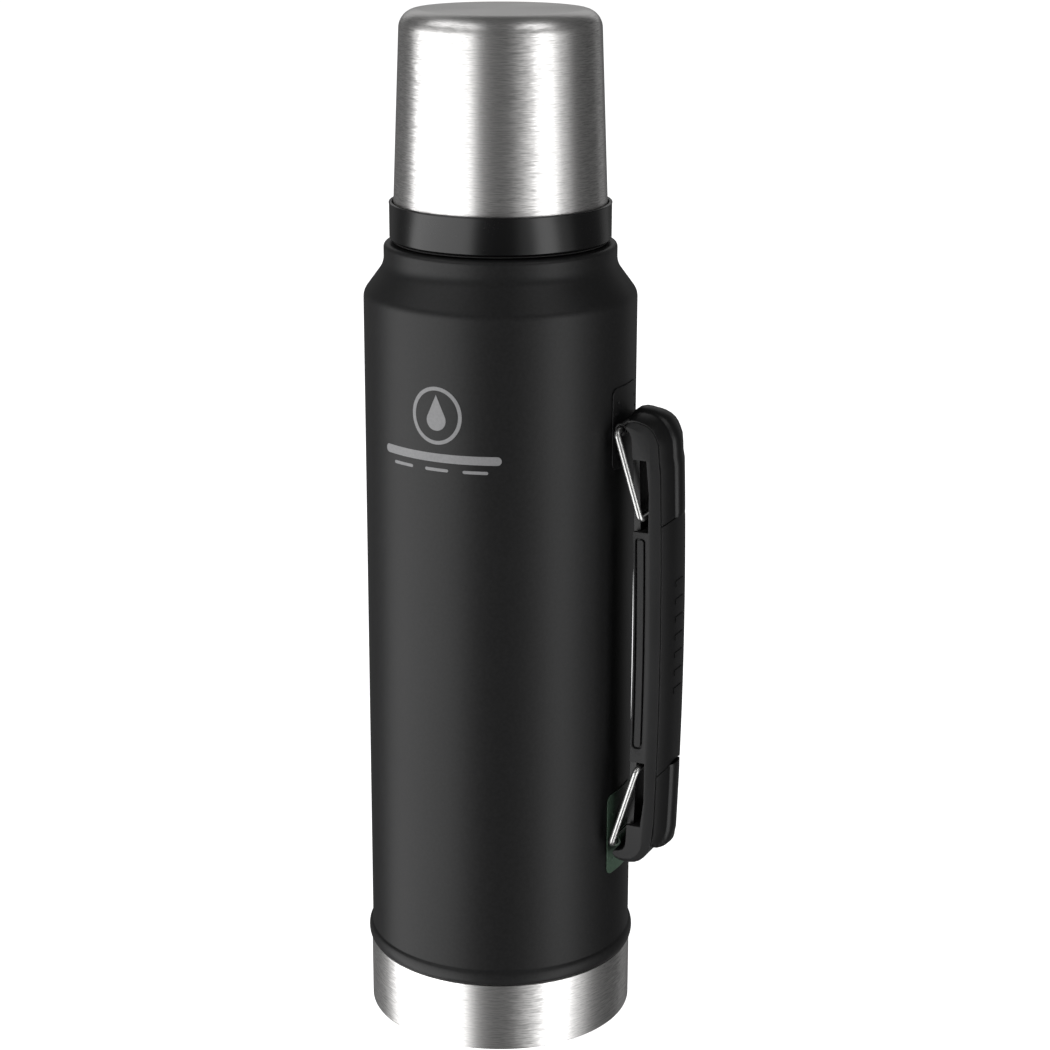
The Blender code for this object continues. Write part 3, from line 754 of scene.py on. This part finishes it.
def core_lines():
    """Outlines of the grip core, point for point: (x, z) of the strip, the side and the pocket's wall."""
    tip = [((53.2, 229.5), (52.9, 228.4)), ((54.8, 229.9), (53.9, 228.2)), ((56.6, 229.7), (55.2, 227.8)),
           ((58.5, 229.3), (56.8, 227.3)), ((60.2, 228.6), (58.2, 226.5)), ((61.7, 227.5), (59.5, 225.4)),
           ((62.7, 226.2), (60.6, 224.0)), ((63.5, 224.5), (61.5, 222.4)), ((64.2, 222.6), (61.9, 220.6)),
           ((64.45, 219.8), (62.0, 218.6)), ((64.6, 216.8), (62.05, 216.4))]
    run = [((PAD_SEAT + bow(z), z), (61.6 + bow(z), z)) for z in range(212, 76, -8)]
    foot = [((64.4, 77.0), (61.6, 77.2)), ((64.0, 74.4), (61.3, 75.0)), ((62.9, 71.8), (60.7, 73.0)),
            ((61.6, 69.8), (59.7, 71.3)), ((60.0, 68.4), (58.4, 70.0)), ((58.2, 67.5), (57.0, 69.2)),
            ((56.0, 67.1), (55.6, 68.8)), ((53.8, 67.1), (54.0, 68.7)), ((52.0, 67.4), (52.2, 68.8)),
            ((50.5, 68.0), (50.9, 69.2)), ((49.8, 69.0), (50.2, 69.9)), ((49.9, 70.2), (50.2, 70.7)),
            ((50.5, 71.1), (50.6, 71.2)), ((52.4, 71.5), (52.4, 71.5)), ((54.0, 72.2), (54.0, 72.2)),
            ((54.8, 73.6), (54.8, 73.6)), ((55.1, 75.6), (55.1, 75.6))]
    both = lambda x, z: ((x, z), (x, z))
    face = lambda z: ((56.9 + bow(z), z), (54.8 + bow(z), z))
    back = [both(54.8 + bow(78.6), 78.6), face(79.0), face(82.0), both(60.55, 82.0), both(61.75, 92.0),
            both(61.75, 106.4), face(106.4)]
    back += [face(z) for z in range(112, 190, 8)]
    back += [face(191.5), both(61.75, 191.5), both(61.75, 205.0), both(60.55, 217.0), face(217.0),
             face(220.0), both(54.8 + bow(220.4), 220.4), both(55.1, 222.6), both(55.0, 224.5), both(54.6, 225.6),
             both(54.1, 226.5), both(53.3, 227.2), ((52.8, 228.3), (52.8, 227.7))]
    outer = tip + run + foot
    return [(*pair, pair[0]) for pair in outer] + [(*pair, pair[1]) for pair in back]


def pad(name, path, half, lift, thick=1.6, edge=0.3, ends=((0, 2), (0, 2))):
    """A soft pad laid along (x, z, share, spread) stations; lift(y, spread) is its height in mm above them.

    ends gives, for the first and the last station, how far in mm the corners run ahead of the middle and the
    power of that curve.
    """
    settle()
    columns = 56
    way = [0.0]
    for a, b in zip(path, path[1:]):
        way.append(way[-1] + math.dist(a[:2], b[:2]))
    bpy.ops.mesh.primitive_grid_add(x_subdivisions=columns, y_subdivisions=len(path) - 1, size=2)
    obj = bpy.context.object
    obj.name = obj.data.name = name
    for v in obj.data.vertices:
        i = round((v.co.y + 1) / 2 * (len(path) - 1))
        a, b = Vector(path[max(i - 1, 0)][:2]), Vector(path[min(i + 1, len(path) - 1)][:2])
        t = (b - a).normalized()
        x, z, share, spread = (*path[i], 1.0)[:4]
        y = (0.55 * v.co.x + 0.45 * math.sin(v.co.x * math.pi / 2)) * half
        up = lift(y, spread) * share
        q = abs(y) / half
        (first, first_power), (last, last_power) = ends
        run = (first * q ** first_power * max(0.0, 1 - way[i] / END_REACH) ** 2
               + last * q ** last_power * max(0.0, 1 - (way[-1] - way[i]) / END_REACH) ** 2)
        v.co = Vector(((x + t.y * up + t.x * run) * MM, y * MM, (z - t.x * up + t.y * run) * MM))
    edit(obj)
    bpy.ops.mesh.normals_make_consistent(inside=False)
    settle()
    if sum(f.normal.x for f in obj.data.polygons) < 0:
        edit(obj)
        bpy.ops.mesh.flip_normals()
        settle()
    mod = obj.modifiers.new("wall", "SOLIDIFY")
    mod.thickness, mod.offset = thick * MM, -1
    apply_modifiers(obj)
    clean(obj)
    return soften(obj, edge, 3, 40, 50)


def crown(y, spread=1.0):
    """Height in mm of the sleeve at a distance y from its middle: a gently crowned back."""
    q = min(1.0, abs(y) / PAD_HALF)
    return 0.6 + 2.3 * (1 - q ** 2.5)


def ridge(y, spread=1.0):
    """Height in mm of an end cap: the sleeve's back with a round ridge along the middle."""
    q = min(1.0, abs(y) / (3.9 * spread))
    return crown(y) + 1.4 * math.sqrt(1 - q * q)


def bowed_box(x0, x1, z0, z1, radius):
    """A (x, z) outline of a tall box with round corners that follows the bow."""
    corners = [(x0, 150), (x0, z1, radius), (x1, z1, radius), (x1, z0, radius), (x0, z0, radius), (x0, 149)]
    line = []
    points = rounded(corners, 15)
    for (xa, za), (xb, zb) in zip(points, points[1:] + points[:1]):
        steps = max(1, round(abs(zb - za) / 6))
        line += [(xa + (xb - xa) * k / steps, za + (zb - za) * k / steps) for k in range(steps)]
    return [(x + bow(z), z) for x, z in line]


def sized(obj, factor):
    """Scale a piece's mesh about the origin."""
    edit(obj)
    bpy.ops.transform.resize(value=(factor, factor, factor), center_override=(0, 0, 0))
    settle()


def carve(obj, *cutters):
    """Cut the cutters out of a piece, at a thousand times its size for accuracy, and remove them."""
    for item in (obj, *cutters):
        sized(item, 1000)
    for cutter in cutters:
        mod = obj.modifiers.new("cut", "BOOLEAN")
        mod.operation, mod.solver, mod.object = "DIFFERENCE", "FAST", cutter
    apply_modifiers(obj)
    for cutter in cutters:
        bpy.data.objects.remove(cutter, do_unlink=True)
    sized(obj, 0.001)
    if len(obj.data.polygons) < 6:
        raise RuntimeError("the cut left nothing of " + obj.name)
    return obj


def shifted(obj, x=0.0, y=0.0, z=0.0):
    """Move a piece's mesh by mm, leaving the object at the origin."""
    edit(obj)
    bpy.ops.transform.translate(value=(x * MM, y * MM, z * MM))
    settle()
    return obj


def peg(name, x0, x1, z, radius):
    """A round peg along X."""
    settle()
    bpy.ops.mesh.primitive_cylinder_add(vertices=32, radius=radius * MM, depth=(x1 - x0) * MM)
    obj = bpy.context.object
    obj.name = obj.data.name = name
    edit(obj)
    bpy.ops.transform.rotate(value=math.pi / 2, orient_axis="Y", center_override=(0, 0, 0))
    return shifted(obj, (x0 + x1) / 2, 0, z)


class GROWLER_OT_grip(bpy.types.Operator):
    """Grip core, cover, side panels, soft sleeve, end caps and screws"""
    bl_idname = "growler.grip"
    bl_label = "Grip"

    def execute(self, context):
        s, c = sizes(), colours()
        half = mm(s.half_grip)
        strip, side, wall = zip(*core_lines())
        loops = [[(x, y, z) for x, z in line] for y, line in
                 ((-half, side), (-PAD_HALF, wall), (-POCKET, strip), (POCKET, strip), (PAD_HALF, wall),
                  (half, side))]
        charcoal = moulded("charcoal_plastic", c.core, 0.46, 1500, 0.00005, 0.25, 0.22)
        core = stack("core", loops)
        wells = []
        for sign in (-1, 1):
            well = extruded("well", bowed_box(55.5, 59.3, 111.6, 189.4, 1.5), 0.9)
            wells.append(shifted(well, y=sign * (half - 1.1 + 0.9)))
        wells += [peg("hole", 55, 61.5, z, 1.3) for z in (128.0, 172.0)]
        core = soften(carve(clean(core), *wells), 0.2, 2, 28, 35)
        place(core, "grip", charcoal, "grip_core", "grip_core")
        for name, sign in (("panel_front", -1), ("panel_back", 1)):
            plate = soften(extruded(name, bowed_box(56.2, 58.6, 112.3, 188.7, 1.0), 0.52), 0.15, 2, 40)
            place(shifted(plate, y=sign * 11.83), "grip", charcoal, "grip_core", "grip_" + name)

        levels = [79.3, 84, 90, 96, 102, 107, 111, *range(118, 183, 8), 185, 188, 194, 200, 206, 212,
                  216, 219.7]
        line = [((54.9 if 109 < z < 187 else 54.0) + bow(z), z) for z in levels]
        cover = extruded("cover", line + [(56.7 + bow(z), z) for z in levels[::-1]], 9.9)
        cover = soften(carve(cover, *(peg("hole", 54, 60, z, 1.5) for z in (128.0, 172.0))), 0.2, 2, 40)
        place(cover, "grip", moulded("cover_plastic", c.plastic, 0.4), "plastic", "grip_cover")

        zinc = plain_steel("screw_zinc", (0.7, 0.7, 0.69), 0.22)
        for name, z in (("screw_lower", 128.0), ("screw_upper", 172.0)):
            head = 54.5 + bow(z)
            shape = rounded([(0, -0.35), (0.5, -0.1), (1.3, 0), (2.0, 0.15), (2.4, 0.45), (2.4, 1.0, 0.1),
                             (1.15, 1.0), (1.15, 6.8), (0.7, 7.4), (0, 7.4)])
            screw = turned(name, shape, 32, 30)
            edit(screw)
            bpy.ops.transform.rotate(value=math.pi / 2, orient_axis="Y", center_override=(0, 0, 0))
            settle()
            if max(v.co.x for v in screw.data.vertices) < 0.004:
                edit(screw)
                bpy.ops.transform.rotate(value=math.pi, orient_axis="Z", center_override=(0, 0, 0))
                settle()
            slots = [extruded("slot", [(-1, a - b), (0.45, a - b), (0.45, a + b), (-1, a + b)], h)
                     for a, b, h in ((0, 0.28, 1.6), (0, 1.6, 0.28))]
            screw = shifted(carve(screw, *slots), head, 0, z)
            place(clean(screw, 30), "grip", zinc, "steel", "grip_" + name)

        skin = moulded("grip_rubber", c.soft, 0.5, 1700, 0.00006, 0.3, 0.3)
        smooth = moulded("cap_rubber", c.soft, 0.40, 1700, 0.00004, 0.2, 0.35)
        on_seat = lambda stations: [(PAD_SEAT + bow(z), z, share) for z, share in stations]
        levels = [(104.9, 0.97)] + [(105.8 + 4.2 * k, 1) for k in range(22)] + [(195.5, 0.97)]
        sleeve = pad("sleeve", on_seat(levels), PAD_HALF, crown, 1.4, 0.15, ((-3.1, 2), (-1.7, 2)))
        bars = []
        for k in range(RIBS):
            stations = [(131.0 + RIB_PITCH * k + d, 1) for d in (0, 0.7, 1.4, 2.1)]
            bars.append(pad("bar", on_seat(stations), 3.4, lambda y, spread: crown(y) + 0.3, 0.6, 0.2))
        place(joined("sleeve", sleeve, *bars), "grip", skin, "grip_soft", "grip_sleeve")

        run = on_seat([(195.85, 0.94), (196.3, 0.98), *((z, 1) for z in (197.2, 199, 202, 205, 208, 211, 214))])
        run += [(64.6, 216.8, 1), (64.45, 219.8, 1), (64.2, 222.6, 0.98), (63.5, 224.5, 0.95),
                (62.7, 226.2, 0.92), (61.7, 227.5, 0.9), (60.2, 228.6, 0.88), (58.5, 229.3, 0.87),
                (56.6, 229.7, 0.86), (55.2, 229.8, 0.84, 1.1), (54.2, 229.7, 0.78, 1.25),
                (53.4, 229.4, 0.66, 1.5), (52.8, 228.9, 0.45, 1.9), (52.5, 228.2, 0.2, 2.3)]
        top = pad("top_cap", run, PAD_HALF, ridge, 1.5, 0.3, ((-1.7, 2), (-1.6, 4)))
        place(top, "grip", smooth, "grip_soft", "grip_top_cap")
        run = [(63.5, 72.6, 0.22, 3.2), (63.6, 72.9, 0.55, 2.9), (63.7, 73.4, 0.78, 2.4),
               (63.9, 74.2, 0.92, 1.9), (64.1, 75.3, 0.98, 1.5), (64.4, 77.0, 1, 1.2),
               (PAD_SEAT + bow(79), 79, 1, 1.05)]
        run += on_seat([*((z, 1) for z in (81, 85, 89, 93, 96, 99.5, 102.5)), (103.8, 0.98), (104.55, 0.94)])
        bottom = pad("bottom_cap", run, PAD_HALF, ridge, 1.5, 0.3, ((2.6, 4), (-3.1, 2)))
        place(bottom, "grip", smooth, "grip_soft", "grip_bottom_cap")
        return {"FINISHED"}


class GROWLER_OT_emblem(bpy.types.Operator):
    """Printed emblem: a drop in an oval ring over a plain bar"""
    bl_idname = "growler.emblem"
    bl_label = "Emblem"

    def execute(self, context):
        s, c = sizes(), colours()
        f = Finish("emblem_ink", 0.5)
        grain = f.noise(1200, 2.0)
        f.link(Base_Color=f.ramp(grain, shade(c.emblem, 0.95), shade(c.emblem, 1.05)),
               Normal=f.bump(grain, 0.1, 0.00003))
        oval = lambda w, h, n: [(w * math.cos(2 * math.pi * k / n), 6.0 + h * math.sin(2 * math.pi * k / n))
                                for k in range(n)]
        drop = [(0, 13.2)] + [(3.6 * math.sin(a), 4.4 - 3.6 * math.cos(a)) for a in
                              (math.radians(118 - 236 * k / 28) for k in range(29))]
        bar = lambda w, h, z, r: rounded([(0, z - h), (w, z - h, r), (w, z + h, r), (-w, z + h, r),
                                          (-w, z - h, r), (-0.01, z - h)], 15)
        parts = [printed("ring", s, oval(9.4, 10.0, 72), oval(8.1, 8.7, 72)), printed("drop", s, drop),
                 printed("bar", s, bar(23.0, 1.5, -8.6, 1.49))]
        for x in (-14.0, 0.0, 14.0):
            dash = [(px + x, pz) for px, pz in bar(4.4, 0.55, -12.8, 0.54)]
            parts.append(printed("dash", s, dash))
        place(joined("emblem", *parts), "bottle", f.mat, None)
        return {"FINISHED"}


def printed(name, s, outline, hole=None):
    """A thin printed patch laid on the jacket from a flat outline in mm."""
    obj = draw_line(name, [(x * MM, z * MM, 0) for x, z in outline], close=True)
    if hole:
        settle()
        inner = draw_line(name, [(x * MM, z * MM, 0) for x, z in hole], close=True)
        obj = joined(name, obj, inner)
        edit(obj)
        bpy.ops.mesh.remove_doubles(threshold=1e-7)
        bpy.ops.mesh.select_all(action="SELECT")
        bpy.ops.mesh.bridge_edge_loops()
    else:
        bpy.ops.mesh.select_all(action="SELECT")
        bpy.ops.mesh.remove_doubles(threshold=1e-7)
        bpy.ops.mesh.edge_face_add()
    low, high = min(x for x, _ in outline), max(x for x, _ in outline)
    for k in range(1, int((high - low) / 1.5) + 1):
        bpy.ops.mesh.select_all(action="SELECT")
        bpy.ops.mesh.bisect(plane_co=((low + 1.5 * k) * MM, 0, 0), plane_no=(1, 0, 0))
    settle()
    r = s.body + 0.00002
    for v in obj.data.vertices:
        a = v.co.x / r + math.radians(-92.0)
        v.co = Vector((r * math.cos(a), r * math.sin(a), 0.2285 + v.co.y))
    edit(obj)
    bpy.ops.mesh.normals_make_consistent(inside=False)
    settle()
    middle = obj.data.polygons[0]
    if middle.normal.dot(Vector((middle.center.x, middle.center.y, 0))) < 0:
        edit(obj)
        bpy.ops.mesh.flip_normals()
        settle()
    mod = obj.modifiers.new("ink", "SOLIDIFY")
    mod.thickness, mod.offset = 0.00005, 1
    apply_modifiers(obj)
    return clean(obj, 40)


# ---- inner parts that keep the frame's own shape -----------------------------------------
class GROWLER_OT_inner_parts(bpy.types.Operator):
    """Finishes for the sealed and hidden parts, whose frame shapes are right as they are"""
    bl_idname = "growler.inner_parts"
    bl_label = "Inner parts"

    def execute(self, context):
        c = colours()
        finishes = {
            "stopper_foam": cells("white_foam", (0.72, 0.71, 0.68)),
            "radiation_foil": foil("copper_foil", (0.82, 0.50, 0.34)),
            "getter_pill": sintered("getter_metal", (0.10, 0.10, 0.11)),
            "evacuation_plug": plain_steel("plug_steel", shade(c.steel, 0.85), 0.3)}
        for name, mat in finishes.items():
            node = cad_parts[name]
            if not node.material_slots:
                node.data.materials.append(mat)
            for held in node.material_slots:
                held.material = mat
        return {"FINISHED"}


# ---- studio ------------------------------------------------------------------------------
class GROWLER_OT_studio(bpy.types.Operator):
    """Pale floor, soft lights and the camera"""
    bl_idname = "growler.studio"
    bl_label = "Studio"

    def execute(self, context):
        settle()
        bpy.ops.mesh.primitive_plane_add(size=12, location=(0, 0, -0.0004))
        floor = bpy.context.object
        floor.name = floor.data.name = "studio_floor"
        f = Finish("studio_white", 0.9)
        f.link(Base_Color=f.ramp(f.noise(3.0), (0.88, 0.88, 0.88), (0.92, 0.92, 0.92)))
        f.set(Emission_Color=(1, 1, 1, 1), Emission_Strength=1.0)
        floor.data.materials.append(f.mat)
        floor.visible_glossy = floor.visible_diffuse = floor.visible_shadow = False

        world = bpy.data.worlds.new("studio_air")
        context.scene.world = world
        world.use_nodes = True
        nodes, links = world.node_tree.nodes, world.node_tree.links
        fill, seen = nodes["Background"], nodes.new("ShaderNodeBackground")
        fill.inputs[0].default_value, fill.inputs[1].default_value = (1, 1, 1, 1), 0.075
        seen.inputs[0].default_value, seen.inputs[1].default_value = (1, 1, 1, 1), 1.0
        ray, mix = nodes.new("ShaderNodeLightPath"), nodes.new("ShaderNodeMixShader")
        links.new(ray.outputs["Is Camera Ray"], mix.inputs[0])
        links.new(fill.outputs[0], mix.inputs[1])
        links.new(seen.outputs[0], mix.inputs[2])
        links.new(mix.outputs[0], nodes["World Output"].inputs[0])
        context.scene.view_settings.view_transform = "Standard"

        for name, azimuth, dist, width, low, high, glow in LIGHTS:
            light = bpy.data.lights.new(name, "AREA")
            light.shape, light.size, light.size_y = "RECTANGLE", width, high - low
            light.energy = glow * math.pi * width * (high - low)
            lamp = bpy.data.objects.new(name, light)
            context.scene.collection.objects.link(lamp)
            lamp.visible_camera = False
            a = math.radians(azimuth) + VIEW_TURN - math.pi / 2
            lamp.location = (dist * math.cos(a), dist * math.sin(a), (low + high) / 2)
            aim = Vector((0, 0, lamp.location.z))
            lamp.rotation_euler = (aim - lamp.location).to_track_quat("-Z", "Y").to_euler()

        camera = bpy.data.cameras.new("camera")
        camera.lens, camera.sensor_width, camera.shift_x = 84.197, 36.0, 0.0233
        camera.clip_start = 0.05
        view = bpy.data.objects.new("camera", camera)
        context.scene.collection.objects.link(view)
        view.location = (VIEW_AWAY * math.sin(VIEW_TURN), -VIEW_AWAY * math.cos(VIEW_TURN), VIEW_UP)
        view.rotation_euler = (math.radians(90 - VIEW_DROP), 0, VIEW_TURN)
        context.scene.camera = view
        return {"FINISHED"}


class GROWLER_PT_panel(bpy.types.Panel):
    """Lists the makers of each piece"""
    bl_idname = "GROWLER_PT_panel"
    bl_label = "Growler"
    bl_space_type = "VIEW_3D"
    bl_region_type = "UI"
    bl_category = "Growler"

    def draw(self, context):
        for operator in OPERATORS:
            self.layout.operator(operator.bl_idname)
        for group in (sizes(), colours()):
            for key in group.bl_rna.properties.keys():
                if key not in ("rna_type", "name"):
                    self.layout.prop(group, key)


OPERATORS = (GROWLER_OT_studio, GROWLER_OT_jacket, GROWLER_OT_base, GROWLER_OT_flask, GROWLER_OT_cup,
             GROWLER_OT_stopper, GROWLER_OT_brackets, GROWLER_OT_bails, GROWLER_OT_grip, GROWLER_OT_emblem,
             GROWLER_OT_inner_parts)
CLASSES = (GrowlerSizes, GrowlerColours, *OPERATORS, GROWLER_PT_panel)


def register():
    for cls in CLASSES:
        bpy.utils.register_class(cls)
    bpy.types.Scene.growler_sizes = bpy.props.PointerProperty(type=GrowlerSizes)
    bpy.types.Scene.growler_colours = bpy.props.PointerProperty(type=GrowlerColours)


def unregister():
    del bpy.types.Scene.growler_colours
    del bpy.types.Scene.growler_sizes
    for cls in reversed(CLASSES):
        bpy.utils.unregister_class(cls)


def main():
    register()
    for operator in OPERATORS:
        group, name = operator.bl_idname.split(".")
        getattr(getattr(bpy.ops, group), name)()


if __name__ == "__main__":
    main()
